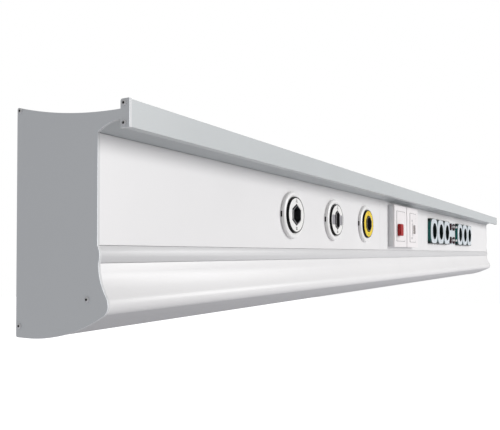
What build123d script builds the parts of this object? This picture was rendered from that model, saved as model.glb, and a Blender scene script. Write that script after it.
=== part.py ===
from build123d import *
import math
import os

# Wall-mounted bed head unit: aluminium trunking with gas outlets, call and handset plates,
# socket blocks and bonding studs along its front. All sizes are in millimetres.
# X runs along the unit, the wall is the plane Y = 0, the front looks towards -Y and Z is up.
# Sections are drawn as (depth from the wall, height above the underside).

# Overall sizes of the trunking
UNIT_LENGTH = 2000.0
UNIT_HEIGHT = 220.0
END_PLATE = 3.0
PLATE_MARGIN = 0.6
SKIN = 2.0
BACK_WALL = 2.5
CORNER_RADIUS = 2.0
SHUT_GAP = 0.3
CUT_PAST = 1.0

# Front faces: depth from the wall, drops from the top and heights above the underside
PANEL_FACE = 105.0
PANEL_TOP_DROP = 34.0
PANEL_HEIGHT = 99.2
PANEL_GAP = 0.2
BLANK_JOINT = 700.0
BAND_HEIGHT = 15.3
BAND_BULGE = 2.5
BAND_FOOT = 1.2
NOSE_REACH = 12.6
NOSE_HEIGHT = 34.5
OGEE_HOLLOW_SHARE = 0.791
COVER_JOINT_INSET = 5.2
UNDERSIDE_RADIUS = 197.0
UNDERSIDE_START = 15.0

# Wing over the panel and the equipment rail along its front
RAIL_DEPTH = 10.0
RAIL_HEIGHT = 25.0
RAIL_RISE = 0.4
WING_OVERHANG = 26.3
WING_TOP_DROP = 17.0
WING_UNDER_RISE = 8.0
WING_RADIUS = 492.0
COVE_RADIUS = 42.0
WING_WEB_DEPTH = 70.0
FLANGE_DROP = 16.0
LEG_GAP = 0.1

# Ribs inside the back profile
SHELF_DROP = 9.0
HOOK_LENGTH = 7.0
HOOK_THICKNESS = 1.6

# End plate screws and the ports they cut into
PORT_INSET = 4.0
BACK_TOP_PORT_DEPTH = 4.6
BACK_BOTTOM_PORT = (5.2, 11.0)
CHANNEL_PORT_INSET = 11.4
CHANNEL_PORT_HEIGHT = 39.4
RAIL_PORT_INSET = 4.5
PORT_WALL = 1.6
SCREW_RADIUS = 1.5
SCREW_CLEARANCE = 0.1
SCREW_REACH = 12.0
SCREW_HEAD_RADIUS = 2.6
SCREW_HEAD_HEIGHT = 1.6
SCREW_SOCKET_RADIUS = 1.2
SCREW_SOCKET_DEPTH = 1.0

# Wall fixings, service entries and the screws that hold the wing
WALL_HOLE_RADIUS = 4.0
WALL_HOLE_COLUMNS = 4
WALL_HOLE_MARGIN = 100.0
WALL_HOLE_DROP = 10.0
GAS_ENTRY_LEAD = 198.0
GAS_ENTRY_WIDTH = 66.0
GAS_ENTRY_MARGIN = 3.0
SIGNAL_ENTRY_PLACE = 35.0
SIGNAL_ENTRY = (40.0, 50.0)
MAINS_ENTRY_MARGIN = 200.0
MAINS_ENTRY = (80.0, 60.0)
WING_SCREW_COUNT = 6
WING_SCREW_MARGIN = 60.0
WING_SCREW_RADIUS = 2.0
WING_SCREW_HEAD = 3.6

# Gas terminal units
FIRST_OUTLET = -622.0
OUTLET_PITCH = 150.0
OUTLET_DROP = 2.4
GAS_KEY_RADII = (15.7, 16.0, 16.0)
GAS_KEY_SIDES = (6, 6, 8)
GAS_KEY_WIDTHS = (28.0, 18.4, 30.0)
ROSETTE_RADIUS = 33.0
ROSETTE_EDGE = 4.2
ROSETTE_CROWN = 6.0
ROSETTE_SKIRT = 2.2
PANEL_HOLE_GAP = 0.4
COLLAR_RADIUS = 25.0
COLLAR_WALL = 2.4
COLLAR_PROUD = 8.4
COLLAR_TRAVEL = 2.0
COLLAR_STOP = 2.0
COLLAR_SPRING_TURNS = 1.25
SLIDE_GAP = 0.3
DISC_RIM = 1.4
DISC_THICKNESS = 1.8
KEY_SLOT = (43.0, 16.0)
KEY_SLOT_DEPTH = 0.8
NOTCH = (6.0, 8.0, 2.2)
GUIDE_WALL = 1.4
GUIDE_PROUD = 1.2
GUIDE_GAP = 1.8
LIP_RADIUS = 26.7
LIP_THICKNESS = 1.6
BODY_FRONT = 14.0
BODY_FLANGE = 4.0
BODY_RADIUS = 17.0
PROBE_BORE = 5.5
PROBE_DEPTH = 14.0
SEAL_PLACE = 23.0
SEAL_WIRE = 1.1
CHAMBER_RADIUS = 8.0
CAP_PLUG = 4.0
CAP_LENGTH = 8.0
CAP_HEX = 14.0
CAP_PASSAGE = 4.2
PRESS_GAP = 0.02
VALVE_RADIUS = 7.4
VALVE_THICKNESS = 2.4
VALVE_STEM = 3.0
VALVE_STEM_REACH = 7.0
VALVE_TRAVEL = 3.0
SPRING_WIRE = 0.7
SPRING_RADIUS = 6.4
SPRING_TURNS = 3
PIPE_RADIUS = 6.0
PIPE_WALL = 1.0
PIPE_SOCKET = 6.0
PIPE_BEND = 12.0
PIPE_RUN_DEPTH = 30.0
PIPE_PITCH = 26.0
PIPE_CLIP_LEAD = 118.0
PIPE_CLIP_WIDTH = 14.0
PIPE_CLIP_MARGIN = 3.5
PIPE_CLIP_GAP = 0.1

# Surface box with the call plate and the handset plate
PLATE_SIZE = 86.0
PLATE_GAP = 5.0
PLATE_THICKNESS = 3.5
PLATES_CENTRE = -92.0
PLATES_PROUD = 13.0
BOX_WALL = 2.5
MODULE_GAP = 0.3
CALL_MODULE = (56.0, 62.0)
HANDSET_MODULE = (45.0, 63.0)
MODULE_RAISE = 0.6
BUTTON_SIZE = (18.5, 24.5)
BUTTON_OFFSET = (-14.5, -8.0)
BUTTON_PROUD = 8.0
BUTTON_FLANGE = 1.8
BUTTON_TRAVEL = 2.5
BUTTON_SPRING_RADIUS = 9.2
BUTTON_SPRING_TURNS = 2
BUTTON_CORNER = 3.0
JACK_SIZE = (24.0, 28.0)
JACK_OFFSET = (8.0, -3.5)
JACK_RAISE = 1.2
JACK_MOUTH = (17.0, 20.0)
JACK_DEPTH = 9.0
JACK_SCREW = 1.2
JACK_SCREW_HEAD = 2.2
JACK_SCREW_PLACES = ((-8.5, 15.5), (-8.5, -22.5))
PIN_RADIUS = 0.9
PIN_PITCH = 4.0
BOARD_SIZE = (48.0, 54.0)
BOARD_THICKNESS = 1.6
BOARD_FRONT = 2.4
POST_RADIUS = 2.0
POST_INSET = 2.4
SWITCH_SIZE = (12.0, 12.0)

# Socket blocks and their wells
FIRST_BLOCK = 243.2
SECOND_BLOCK = 560.5
SOCKET_PITCH = 71.0
BLOCK_MARGIN = 34.0
SOCKET_FRAME_HEIGHT = 63.0
SOCKET_TILE = (66.0, 61.0)
TILE_CORNER = 20.0
TILE_THICKNESS = 1.6
FRAME_PROUD = 6.8
FRAME_WALL = 2.4
WELL_RADIUS = 19.9
WELL_DEPTH = 17.5
WELL_WALL = 1.8
WELL_RIM = 1.0
WELL_LIP = 0.6
CONTACT_SPACING = 19.0
CONTACT_RADIUS = 2.6
CONTACT_LENGTH = 14.0
CONTACT_WALL = 0.6
CLIP_WIDTH = 4.0
CLIP_THICKNESS = 1.2

# Bonding studs between the socket blocks
BONDING_PLATE = (84.0, 62.0)
BONDING_THICKNESS = 1.6
BONDING_PITCH = 38.0
STUD_RADIUS = 3.0
STUD_SHANK = 2.5
STUD_PROUD = 13.4
STUD_GROOVE = 2.3
STUD_BEVEL = 1.0
STUD_REAR = 8.0
STUD_NUT = 5.0
STUD_NUT_THICKNESS = 3.0
STUD_COLLAR = 9.8
STUD_COLLAR_PROUD = 3.8

# Parts inside the trunking
GAS_DIVIDER = -235.0
MAINS_DIVIDER = 80.0
DIVIDER_THICKNESS = 1.5
DIVIDER_FOOT = 12.0
TERMINAL_BLOCK = (72.0, 26.0, 24.0)
TERMINAL_MARGIN = 120.0
TERMINAL_WAYS = 6
EARTH_BAR = (60.0, 6.0, 9.0)
EARTH_MARGIN = 300.0
EARTH_SCREWS = 5

# Sizes that follow from those above
HALF_LENGTH = UNIT_LENGTH / 2
MOUNT_HEIGHT = UNIT_HEIGHT / 2
PROFILE_LENGTH = UNIT_LENGTH - 2 * END_PLATE
PANEL_TOP = UNIT_HEIGHT - PANEL_TOP_DROP
BAND_TOP = PANEL_TOP - PANEL_HEIGHT
BAND_BOTTOM = BAND_TOP - BAND_HEIGHT
PANEL_MIDDLE = (PANEL_TOP + BAND_TOP) / 2
GAS_JOINT = GAS_DIVIDER + DIVIDER_THICKNESS / 2
MAINS_JOINT = MAINS_DIVIDER + DIVIDER_THICKNESS / 2
WING_TOP = UNIT_HEIGHT - WING_TOP_DROP
WING_UNDER = PANEL_TOP + WING_UNDER_RISE
RAIL_BOTTOM = PANEL_TOP + RAIL_RISE
RAIL_TOP = RAIL_BOTTOM + RAIL_HEIGHT
RAIL_REAR = PANEL_FACE + WING_OVERHANG
RAIL_FRONT = RAIL_REAR + RAIL_DEPTH
NOSE_DEPTH = PANEL_FACE + NOSE_REACH
COVER_JOINT = NOSE_DEPTH - COVER_JOINT_INSET
PANEL_FRONT = PANEL_FACE - PLATE_MARGIN
PANEL_REAR = PANEL_FRONT - SKIN
PORT_BORE = SCREW_RADIUS + SCREW_CLEARANCE
PORT_PLACES = {
    "back_top": (BACK_TOP_PORT_DEPTH, UNIT_HEIGHT - PORT_INSET),
    "back_bottom": BACK_BOTTOM_PORT,
    "channel": (PANEL_FACE - CHANNEL_PORT_INSET, CHANNEL_PORT_HEIGHT),
    "rail_top": (RAIL_REAR + RAIL_PORT_INSET, RAIL_TOP - PORT_INSET),
    "rail_bottom": (RAIL_REAR + RAIL_PORT_INSET, RAIL_BOTTOM + PORT_INSET),
}
SHELF_HEIGHT = BAND_TOP - SHELF_DROP
SHELF_TOP = SHELF_HEIGHT + SKIN
FLANGE_BOTTOM = PANEL_TOP - FLANGE_DROP
WING_SCREW_HEIGHT = PANEL_TOP - FLANGE_DROP / 2
WING_SCREW_PITCH = (UNIT_LENGTH - 2 * WING_SCREW_MARGIN) / (WING_SCREW_COUNT - 1)
WALL_HOLE_PITCH = (UNIT_LENGTH - 2 * WALL_HOLE_MARGIN) / (WALL_HOLE_COLUMNS - 1)
WALL_HOLE_RISE = FLANGE_BOTTOM - WALL_HOLE_DROP - MOUNT_HEIGHT
GAS_PLACES = [FIRST_OUTLET + OUTLET_PITCH * step for step in range(3)]
GAS_HEIGHT = PANEL_MIDDLE - OUTLET_DROP
GAS_ENTRY_PLACE = FIRST_OUTLET - GAS_ENTRY_LEAD
GAS_ENTRY = (GAS_ENTRY_WIDTH, 2 * (PIPE_PITCH + PIPE_RADIUS + GAS_ENTRY_MARGIN))
PIPE_CLIP_PLACES = (FIRST_OUTLET - PIPE_CLIP_LEAD, FIRST_OUTLET + OUTLET_PITCH / 2)
BLOCK_PLACES = (FIRST_BLOCK, SECOND_BLOCK)
PANEL_HOLE = ROSETTE_RADIUS - ROSETTE_SKIRT - SLIDE_GAP
BLOCK_LENGTH = 2 * SOCKET_PITCH + 2 * BLOCK_MARGIN
BOX_LENGTH = 2 * PLATE_SIZE + PLATE_GAP
CALL_CENTRE = -(PLATE_SIZE + PLATE_GAP) / 2
HANDSET_CENTRE = -CALL_CENTRE
BACK_WALL_TOP = UNIT_HEIGHT - PLATE_MARGIN - 2 * SKIN
LEG_REAR = BACK_WALL + LEG_GAP
TILE_FRONT = FRAME_PROUD + TILE_THICKNESS
WELL_FLOOR = TILE_FRONT - WELL_DEPTH
PLATE_REAR = PLATES_PROUD - PLATE_THICKNESS
DISC_REAR = COLLAR_PROUD - DISC_THICKNESS
COLLAR_REAR = BODY_FRONT - COLLAR_TRAVEL - COLLAR_STOP
CHAMBER_FRONT = BODY_FRONT + PROBE_DEPTH
CHAMBER_DEPTH = SLIDE_GAP + VALVE_THICKNESS + VALVE_TRAVEL + (SPRING_TURNS + 1) * SPRING_WIRE
BODY_REAR = CHAMBER_FRONT + CHAMBER_DEPTH + CAP_PLUG
CAP_REAR = BODY_REAR + CAP_LENGTH
BONDING_CENTRE = (FIRST_BLOCK + SECOND_BLOCK) / 2
COLLAR_FRONT = BONDING_THICKNESS + STUD_COLLAR_PROUD


def underside_height(depth):
    """Height of the curved underside at a depth from the wall."""
    across = depth - UNDERSIDE_START
    return UNDERSIDE_RADIUS - math.sqrt(UNDERSIDE_RADIUS**2 - across**2)


def plate_outline():
    """Face with the full outline of an end plate."""
    joint = (COVER_JOINT, underside_height(COVER_JOINT))
    band_foot = (PANEL_FACE + BAND_FOOT, BAND_BOTTOM)
    top = RadiusArc((0, UNIT_HEIGHT), (RAIL_REAR, WING_TOP), -WING_RADIUS)
    rail = Polyline(
        (RAIL_REAR, WING_TOP),
        (RAIL_REAR, RAIL_TOP),
        (RAIL_FRONT, RAIL_TOP),
        (RAIL_FRONT, RAIL_BOTTOM),
        (RAIL_REAR, RAIL_BOTTOM),
        (RAIL_REAR, WING_UNDER),
    )
    cove = RadiusArc((RAIL_REAR, WING_UNDER), (PANEL_FACE, PANEL_TOP), -COVE_RADIUS)
    panel = Line((PANEL_FACE, PANEL_TOP), (PANEL_FACE, BAND_TOP))
    bulge_height = (BAND_TOP + BAND_BOTTOM) / 2
    band = ThreePointArc((PANEL_FACE, BAND_TOP), (PANEL_FACE + BAND_BULGE, bulge_height), band_foot)
    fall = BAND_BOTTOM - NOSE_HEIGHT
    turn = 2 * math.atan2(NOSE_DEPTH - band_foot[0], fall)
    hollow_radius = OGEE_HOLLOW_SHARE * fall / math.sin(turn)
    flare = (
        band_foot[0] + hollow_radius * (1 - math.cos(turn)),
        BAND_BOTTOM - hollow_radius * math.sin(turn),
    )
    hollow = TangentArc(band_foot, flare, tangent=(0, -1))
    crown = TangentArc(flare, (NOSE_DEPTH, NOSE_HEIGHT), tangent=hollow % 1)
    nose = TangentArc((NOSE_DEPTH, NOSE_HEIGHT), joint, tangent=(0, -1))
    underside = TangentArc((UNDERSIDE_START, 0), joint, tangent=(1, 0))
    back = Polyline((UNDERSIDE_START, 0), (0, 0), (0, UNIT_HEIGHT))
    lines = (top, rail, cove, panel, band, hollow, crown, nose, underside, back)
    return make_face([edge for line in lines for edge in line.edges()])


def block(low, high):
    """Rectangular face between two (depth, height) corners."""
    width, height = high[0] - low[0], high[1] - low[1]
    return Pos((low[0] + high[0]) / 2, (low[1] + high[1]) / 2) * Rectangle(width, height)


def along(section, start, end):
    """Solid of a (depth, height) section drawn out from one X to another."""
    plane = Plane(origin=(end, 0, -MOUNT_HEIGHT), x_dir=(0, -1, 0), z_dir=(-1, 0, 0))
    return extrude(plane * section, amount=end - start)


def on_front(x, height, depth=PANEL_FRONT):
    """Frame on the front: local X along the unit, local Y up, local Z towards the room."""
    return Plane(origin=(x, -depth, height - MOUNT_HEIGHT), x_dir=(1, 0, 0), z_dir=(0, -1, 0))


def prism(sketch, low, high):
    """Solid of a sketch between two local heights."""
    return extrude(Pos(0, 0, low) * sketch, amount=high - low)


def turned(*corners):
    """Solid turned about local Z from (radius, height) corners."""
    return revolve(make_face(Plane.XZ * Polyline(*corners, close=True)), Axis.Z)


def rounded(width, height, radius):
    return RectangleRounded(width, height, radius)


OUTLINE = plate_outline()
SECTION = offset(OUTLINE, -PLATE_MARGIN)
SECTION += block((0, PLATE_MARGIN), (2 * PLATE_MARGIN, UNIT_HEIGHT - 2 * PLATE_MARGIN))
HOLLOW = offset(OUTLINE, -PLATE_MARGIN - SKIN)
RING = SECTION - HOLLOW


def port(name):
    """Boss and bore of a screw port."""
    place = Pos(*PORT_PLACES[name])
    return place * Circle(PORT_BORE + PORT_WALL), place * Circle(PORT_BORE)


def with_ports(section, *names):
    for name in names:
        boss, bore = port(name)
        section = section + (boss & SECTION) - bore
    return section


def wing_screw_places():
    """Frames of the wing's screws on the wall plate's rear face."""
    row = on_front(0, WING_SCREW_HEIGHT, 0)
    return [row * place for place in GridLocations(WING_SCREW_PITCH, 0, WING_SCREW_COUNT, 1)]


def back_profile():
    """Wall plate, underside, shelf and band in one extrusion, with the wall holes and entries."""
    underside_end = (COVER_JOINT - SHUT_GAP, underside_height(COVER_JOINT) + SKIN)
    hook_front = PANEL_REAR - SHUT_GAP
    hook_rear = hook_front - HOOK_THICKNESS
    rib_depth, rib_top = PORT_PLACES["channel"]
    section = block((0, PLATE_MARGIN), (BACK_WALL, BACK_WALL_TOP))
    section += RING & block((0, 0), underside_end)
    section += SECTION & block((0, SHELF_HEIGHT), (NOSE_DEPTH, SHELF_TOP))
    section += RING & block((PANEL_REAR, BAND_BOTTOM), (NOSE_DEPTH, BAND_TOP))
    section += block((hook_rear, SHELF_HEIGHT), (hook_front, BAND_TOP + HOOK_LENGTH))
    section += block((hook_rear, BAND_BOTTOM - HOOK_LENGTH), (hook_front, SHELF_TOP))
    section += SECTION & block((rib_depth - SKIN / 2, 0), (rib_depth + SKIN / 2, rib_top))
    section = with_ports(section, "back_bottom", "channel")
    solid = along(section, -PROFILE_LENGTH / 2, PROFILE_LENGTH / 2)
    hole = prism(Circle(WALL_HOLE_RADIUS), -CUT_PAST, BACK_WALL + CUT_PAST)
    for place in GridLocations(WALL_HOLE_PITCH, 2 * WALL_HOLE_RISE, WALL_HOLE_COLUMNS, 2):
        solid -= on_front(0, MOUNT_HEIGHT, 0) * place * hole
    mains_place = HALF_LENGTH - MAINS_ENTRY_MARGIN
    entries = ((GAS_ENTRY_PLACE, GAS_ENTRY), (SIGNAL_ENTRY_PLACE, SIGNAL_ENTRY), (mains_place, MAINS_ENTRY))
    for x, size in entries:
        entry = prism(rounded(*size, CORNER_RADIUS), -CUT_PAST, BACK_WALL + CUT_PAST)
        solid -= on_front(x, GAS_HEIGHT, 0) * entry
    hole = prism(Circle(WING_SCREW_RADIUS), -CUT_PAST, BACK_WALL + CUT_PAST)
    for place in wing_screw_places():
        solid -= place * hole
    return solid


def top_profile():
    """Closed wing with the equipment rail along its front and a flange down the wall plate."""
    leg_front = LEG_REAR + SKIN
    over_wall = block((0, BACK_WALL_TOP + SHUT_GAP), (LEG_REAR, UNIT_HEIGHT))
    before_wall = block((LEG_REAR, PANEL_TOP), (RAIL_FRONT, UNIT_HEIGHT))
    section = RING & (over_wall + before_wall)
    section += SECTION & block((LEG_REAR, PANEL_TOP), (leg_front, UNIT_HEIGHT))
    section += block((LEG_REAR, FLANGE_BOTTOM), (leg_front, PANEL_TOP + SKIN))
    section += SECTION & block((LEG_REAR, PANEL_TOP), (PANEL_FRONT, PANEL_TOP + SKIN))
    for web_front in (WING_WEB_DEPTH, PANEL_FRONT):
        section += SECTION & block((web_front - SKIN, PANEL_TOP), (web_front, UNIT_HEIGHT))
    section = with_ports(section, "back_top", "rail_top", "rail_bottom")
    section -= block((-CUT_PAST, 0), (LEG_REAR, BACK_WALL_TOP + SHUT_GAP))
    solid = along(section, -PROFILE_LENGTH / 2, PROFILE_LENGTH / 2)
    hole = prism(Circle(WING_SCREW_RADIUS + SCREW_CLEARANCE), 0, leg_front + CUT_PAST)
    for place in wing_screw_places():
        solid -= place * hole
    return solid


def wing_screws():
    """Screws through the wing's flange into the wall plate."""
    shank = prism(Circle(WING_SCREW_RADIUS - PRESS_GAP), 0, LEG_REAR + SKIN)
    head = prism(Circle(WING_SCREW_HEAD), LEG_REAR + SKIN, LEG_REAR + 2 * SKIN)
    screw = shank + head
    return Compound([place * screw for place in wing_screw_places()])


def panel_cuts():
    """Places and outlines of the openings through the front panels."""
    inner = BOX_WALL + PLATE_GAP
    window = rounded(BOX_LENGTH - 2 * inner, PLATE_SIZE - 2 * inner, CORNER_RADIUS)
    well = WELL_RADIUS + WELL_WALL + SHUT_GAP
    gang = rounded(2 * (SOCKET_PITCH + well), 2 * well, CORNER_RADIUS)
    cuts = [(on_front(x, GAS_HEIGHT), Circle(PANEL_HOLE)) for x in GAS_PLACES]
    cuts.append((on_front(PLATES_CENTRE, PANEL_MIDDLE), window))
    cuts += [(on_front(x, PANEL_MIDDLE), gang) for x in BLOCK_PLACES]
    cuts += [(place, Circle(STUD_SHANK + SHUT_GAP)) for place in bonding_places()]
    return cuts


def front_panel(start, end):
    """Length of flat front cover with a rear flange along its top and cut-outs for what it carries."""
    top = PANEL_TOP - SHUT_GAP
    section = block((PANEL_REAR, BAND_TOP + SHUT_GAP), (PANEL_FRONT, top))
    section += block((PANEL_REAR - HOOK_LENGTH, top - HOOK_THICKNESS), (PANEL_REAR, top))
    panel = along(section, start, end)
    for place, outline in panel_cuts():
        cut = place * prism(outline, -SKIN - CUT_PAST, CUT_PAST)
        if start < cut.center().X < end:
            panel -= cut
    return panel


def lower_cover():
    """Curved cover below the band, hooked behind it and behind the underside's edge."""
    top = BAND_BOTTOM - SHUT_GAP
    joint_height = underside_height(COVER_JOINT)
    section = RING & block((PANEL_REAR, joint_height + SKIN), (NOSE_DEPTH, top))
    section += RING & block((COVER_JOINT, 0), (NOSE_DEPTH, joint_height + 2 * SKIN))
    section += block((PANEL_REAR, top - HOOK_LENGTH), (PANEL_REAR + HOOK_THICKNESS, top))
    return along(section, -PROFILE_LENGTH / 2, PROFILE_LENGTH / 2)


def end_plate(side):
    """Flat plate with the whole outline of the section, screwed to the ends of the profiles."""
    inner = side * PROFILE_LENGTH / 2
    outer = side * HALF_LENGTH
    corners = OUTLINE.vertices().sort_by_distance((0, UNIT_HEIGHT))[:1]
    corners += OUTLINE.vertices().sort_by_distance((RAIL_REAR, RAIL_TOP))[:1]
    corners += OUTLINE.vertices().sort_by_distance((0, 0))[:1]
    outline = fillet(corners, CORNER_RADIUS)
    for place in PORT_PLACES.values():
        outline -= Pos(*place) * Circle(SCREW_RADIUS + SCREW_CLEARANCE)
    return along(outline, min(inner, outer), max(inner, outer))


def end_screws():
    """Five pan-head screws with a round socket at each end of the unit."""
    shank = turned((0, -END_PLATE - SCREW_REACH), (SCREW_RADIUS, -END_PLATE - SCREW_REACH),
                   (SCREW_RADIUS, 0), (0, 0))
    socket_floor = SCREW_HEAD_HEIGHT - SCREW_SOCKET_DEPTH
    head = turned((0, 0), (SCREW_HEAD_RADIUS, 0), (SCREW_HEAD_RADIUS, SCREW_HEAD_HEIGHT / 2),
                  (SCREW_SOCKET_RADIUS + SCREW_CLEARANCE, SCREW_HEAD_HEIGHT),
                  (SCREW_SOCKET_RADIUS, SCREW_HEAD_HEIGHT), (SCREW_SOCKET_RADIUS, socket_floor),
                  (0, socket_floor))
    screw = shank + head
    screws = []
    for side in (-1, 1):
        for depth, height in PORT_PLACES.values():
            origin = (side * HALF_LENGTH, -depth, height - MOUNT_HEIGHT)
            screws.append(Plane(origin=origin, x_dir=(0, 1, 0), z_dir=(side, 0, 0)) * screw)
    return Compound(screws)


def cross_dividers():
    """Steel partitions between the gas, signal and mains sections of the trunking."""
    low, high = SHELF_TOP + SHUT_GAP, PANEL_TOP - SHUT_GAP
    rear = LEG_REAR + 2 * SKIN + SHUT_GAP
    front = PANEL_REAR - HOOK_LENGTH - SHUT_GAP
    web = block((rear, low), (front, high))
    foot = block((rear, low), (front, low + DIVIDER_THICKNESS))
    heel = block((BACK_WALL, low), (rear, FLANGE_BOTTOM - SHUT_GAP))
    dividers = []
    for x in (GAS_DIVIDER, MAINS_DIVIDER):
        sheet = along(web + heel, x, x + DIVIDER_THICKNESS)
        dividers.append(sheet + along(foot, x, x + DIVIDER_FOOT))
    return Compound(dividers)


def key_shape(index, inset=0.0):
    """Opening of a gas outlet, which admits the probe of one gas only."""
    sides = GAS_KEY_SIDES[index]
    turn = 90.0 if sides == 6 else 180.0 / sides
    radius = GAS_KEY_RADII[index] - inset
    outline = Rot(0, 0, turn) * RegularPolygon(radius, sides)
    return outline & Rectangle(GAS_KEY_WIDTHS[index] - 2 * inset, 2 * radius)


def rosette():
    """Domed outer ring with a skirt through the panel and a notch in its left edge."""
    bore = COLLAR_RADIUS + SLIDE_GAP
    skirt = PANEL_HOLE - PANEL_HOLE_GAP
    lip_bore = LIP_RADIUS + SLIDE_GAP
    lip_stop = LIP_THICKNESS - COLLAR_REAR + SLIDE_GAP
    dome = ThreePointArc((ROSETTE_RADIUS, ROSETTE_EDGE), ((ROSETTE_RADIUS + bore) / 2, ROSETTE_CROWN),
                         (bore, ROSETTE_EDGE))
    sides = Polyline((bore, ROSETTE_EDGE), (bore, lip_stop), (lip_bore, lip_stop),
                     (lip_bore, -BODY_FRONT), (skirt, -BODY_FRONT), (skirt, 0),
                     (ROSETTE_RADIUS, 0), (ROSETTE_RADIUS, ROSETTE_EDGE))
    ring = revolve(Plane.XZ * make_face([*dome.edges(), *sides.edges()]), Axis.Z)
    depth, tall, high = NOTCH
    cut = Pos(-ROSETTE_RADIUS, 0, high / 2) * Box(2 * depth, tall, high)
    return ring - cut


def release_collar():
    """Black sleeve that is pushed in to let the probe go, with a lip that keeps it in."""
    inner = COLLAR_RADIUS - COLLAR_WALL
    seat = COLLAR_RADIUS - DISC_RIM
    return turned((inner, -COLLAR_REAR), (LIP_RADIUS, -COLLAR_REAR),
                  (LIP_RADIUS, LIP_THICKNESS - COLLAR_REAR),
                  (COLLAR_RADIUS, LIP_THICKNESS - COLLAR_REAR), (COLLAR_RADIUS, COLLAR_PROUD),
                  (seat, COLLAR_PROUD), (seat, DISC_REAR), (inner, DISC_REAR))


def face_disc(index):
    """Coloured disc in the collar, pierced by the key opening of its gas."""
    disc = prism(Circle(COLLAR_RADIUS - DISC_RIM), DISC_REAR, COLLAR_PROUD)
    disc -= prism(key_shape(index), DISC_REAR - CUT_PAST, COLLAR_PROUD + CUT_PAST)
    if index == 1:
        slot_floor = COLLAR_PROUD - KEY_SLOT_DEPTH
        disc -= prism(rounded(*KEY_SLOT, CORNER_RADIUS), slot_floor, COLLAR_PROUD + CUT_PAST)
    return disc


def probe_guide(index):
    """Keyed sleeve inside the collar that steers the probe into the body."""
    sleeve = key_shape(index, GUIDE_GAP) - key_shape(index, GUIDE_GAP + GUIDE_WALL)
    return prism(sleeve, -BODY_FRONT, COLLAR_PROUD + GUIDE_PROUD)


def gas_body():
    """Brass body behind the panel with the probe bore and the valve chamber."""
    flange = PANEL_HOLE - PANEL_HOLE_GAP
    flange_rear = BODY_FRONT + BODY_FLANGE
    body = turned((PROBE_BORE, -BODY_FRONT), (flange, -BODY_FRONT), (flange, -flange_rear),
                  (BODY_RADIUS, -flange_rear), (BODY_RADIUS, -BODY_REAR),
                  (CHAMBER_RADIUS, -BODY_REAR), (CHAMBER_RADIUS, -CHAMBER_FRONT),
                  (PROBE_BORE, -CHAMBER_FRONT))
    groove = Circle(PROBE_BORE + 2 * SEAL_WIRE + PRESS_GAP)
    return body - prism(groove, -SEAL_PLACE - SEAL_WIRE, -SEAL_PLACE + SEAL_WIRE)


def probe_seal():
    """Rubber ring in the groove of the probe bore."""
    centre = PROBE_BORE + SEAL_WIRE
    return revolve(Plane.XZ * Pos(centre, -SEAL_PLACE) * Circle(SEAL_WIRE - PRESS_GAP), Axis.Z)


def inlet_cap():
    """Hexagonal cap that closes the valve chamber and takes the pipe."""
    plug = prism(Circle(CHAMBER_RADIUS - PRESS_GAP), -BODY_REAR, CAP_PLUG - BODY_REAR)
    nut = prism(RegularPolygon(CAP_HEX, 6), -CAP_REAR, -BODY_REAR)
    passage = prism(Circle(CAP_PASSAGE), -CAP_REAR - CUT_PAST, CAP_PLUG - BODY_REAR + CUT_PAST)
    socket = prism(Circle(PIPE_RADIUS + PRESS_GAP), -CAP_REAR - CUT_PAST, PIPE_SOCKET - CAP_REAR)
    return plug + nut - passage - socket


def gas_valve():
    """Poppet that the probe pushes back, with a stem guided in the cap."""
    front = -CHAMBER_FRONT - SLIDE_GAP
    rear = front - VALVE_THICKNESS
    return turned((0, front), (VALVE_RADIUS, front), (VALVE_RADIUS, rear), (VALVE_STEM, rear),
                  (VALVE_STEM, rear - VALVE_STEM_REACH), (0, rear - VALVE_STEM_REACH))


def coil(radius, turns, rear, front):
    """Open coil spring of round wire between two local heights."""
    length = front - rear - SPRING_WIRE
    path = Pos(0, 0, rear + SPRING_WIRE / 2) * Helix(length / turns, length, radius)
    wire = Plane(origin=path @ 0, z_dir=path % 0) * Circle(SPRING_WIRE / 2)
    return sweep(wire, path=path, is_frenet=True)


def valve_spring():
    """Coil spring between the cap and the poppet."""
    front = -CHAMBER_FRONT - SLIDE_GAP - VALVE_THICKNESS
    return coil(SPRING_RADIUS, SPRING_TURNS, CAP_PLUG - BODY_REAR, front)


def collar_spring():
    """Coil spring between the body's flange and the release collar."""
    return coil(COLLAR_RADIUS, COLLAR_SPRING_TURNS, -BODY_FRONT, -COLLAR_REAR)


def gas_pipe(index):
    """Copper pipe from an outlet along the wall plate and back out through the gas entry."""
    x = GAS_PLACES[index]
    start = PANEL_FRONT - CAP_REAR + PIPE_SOCKET
    run_height = GAS_HEIGHT + (0, -PIPE_PITCH, PIPE_PITCH)[index]
    stations = [(x, start, GAS_HEIGHT), (x, PIPE_RUN_DEPTH, GAS_HEIGHT)]
    if run_height != GAS_HEIGHT:
        stations.append((x, PIPE_RUN_DEPTH, run_height))
    stations.append((GAS_ENTRY_PLACE, PIPE_RUN_DEPTH, run_height))
    stations.append((GAS_ENTRY_PLACE, 0, run_height))
    points = [(px, -depth, height - MOUNT_HEIGHT) for px, depth, height in stations]
    path = FilletPolyline(*points, radius=PIPE_BEND)
    mouth = Plane(origin=path @ 0, z_dir=path % 0)
    ring = Circle(PIPE_RADIUS) - Circle(PIPE_RADIUS - PIPE_WALL)
    return sweep(mouth * ring, path=path)


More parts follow.
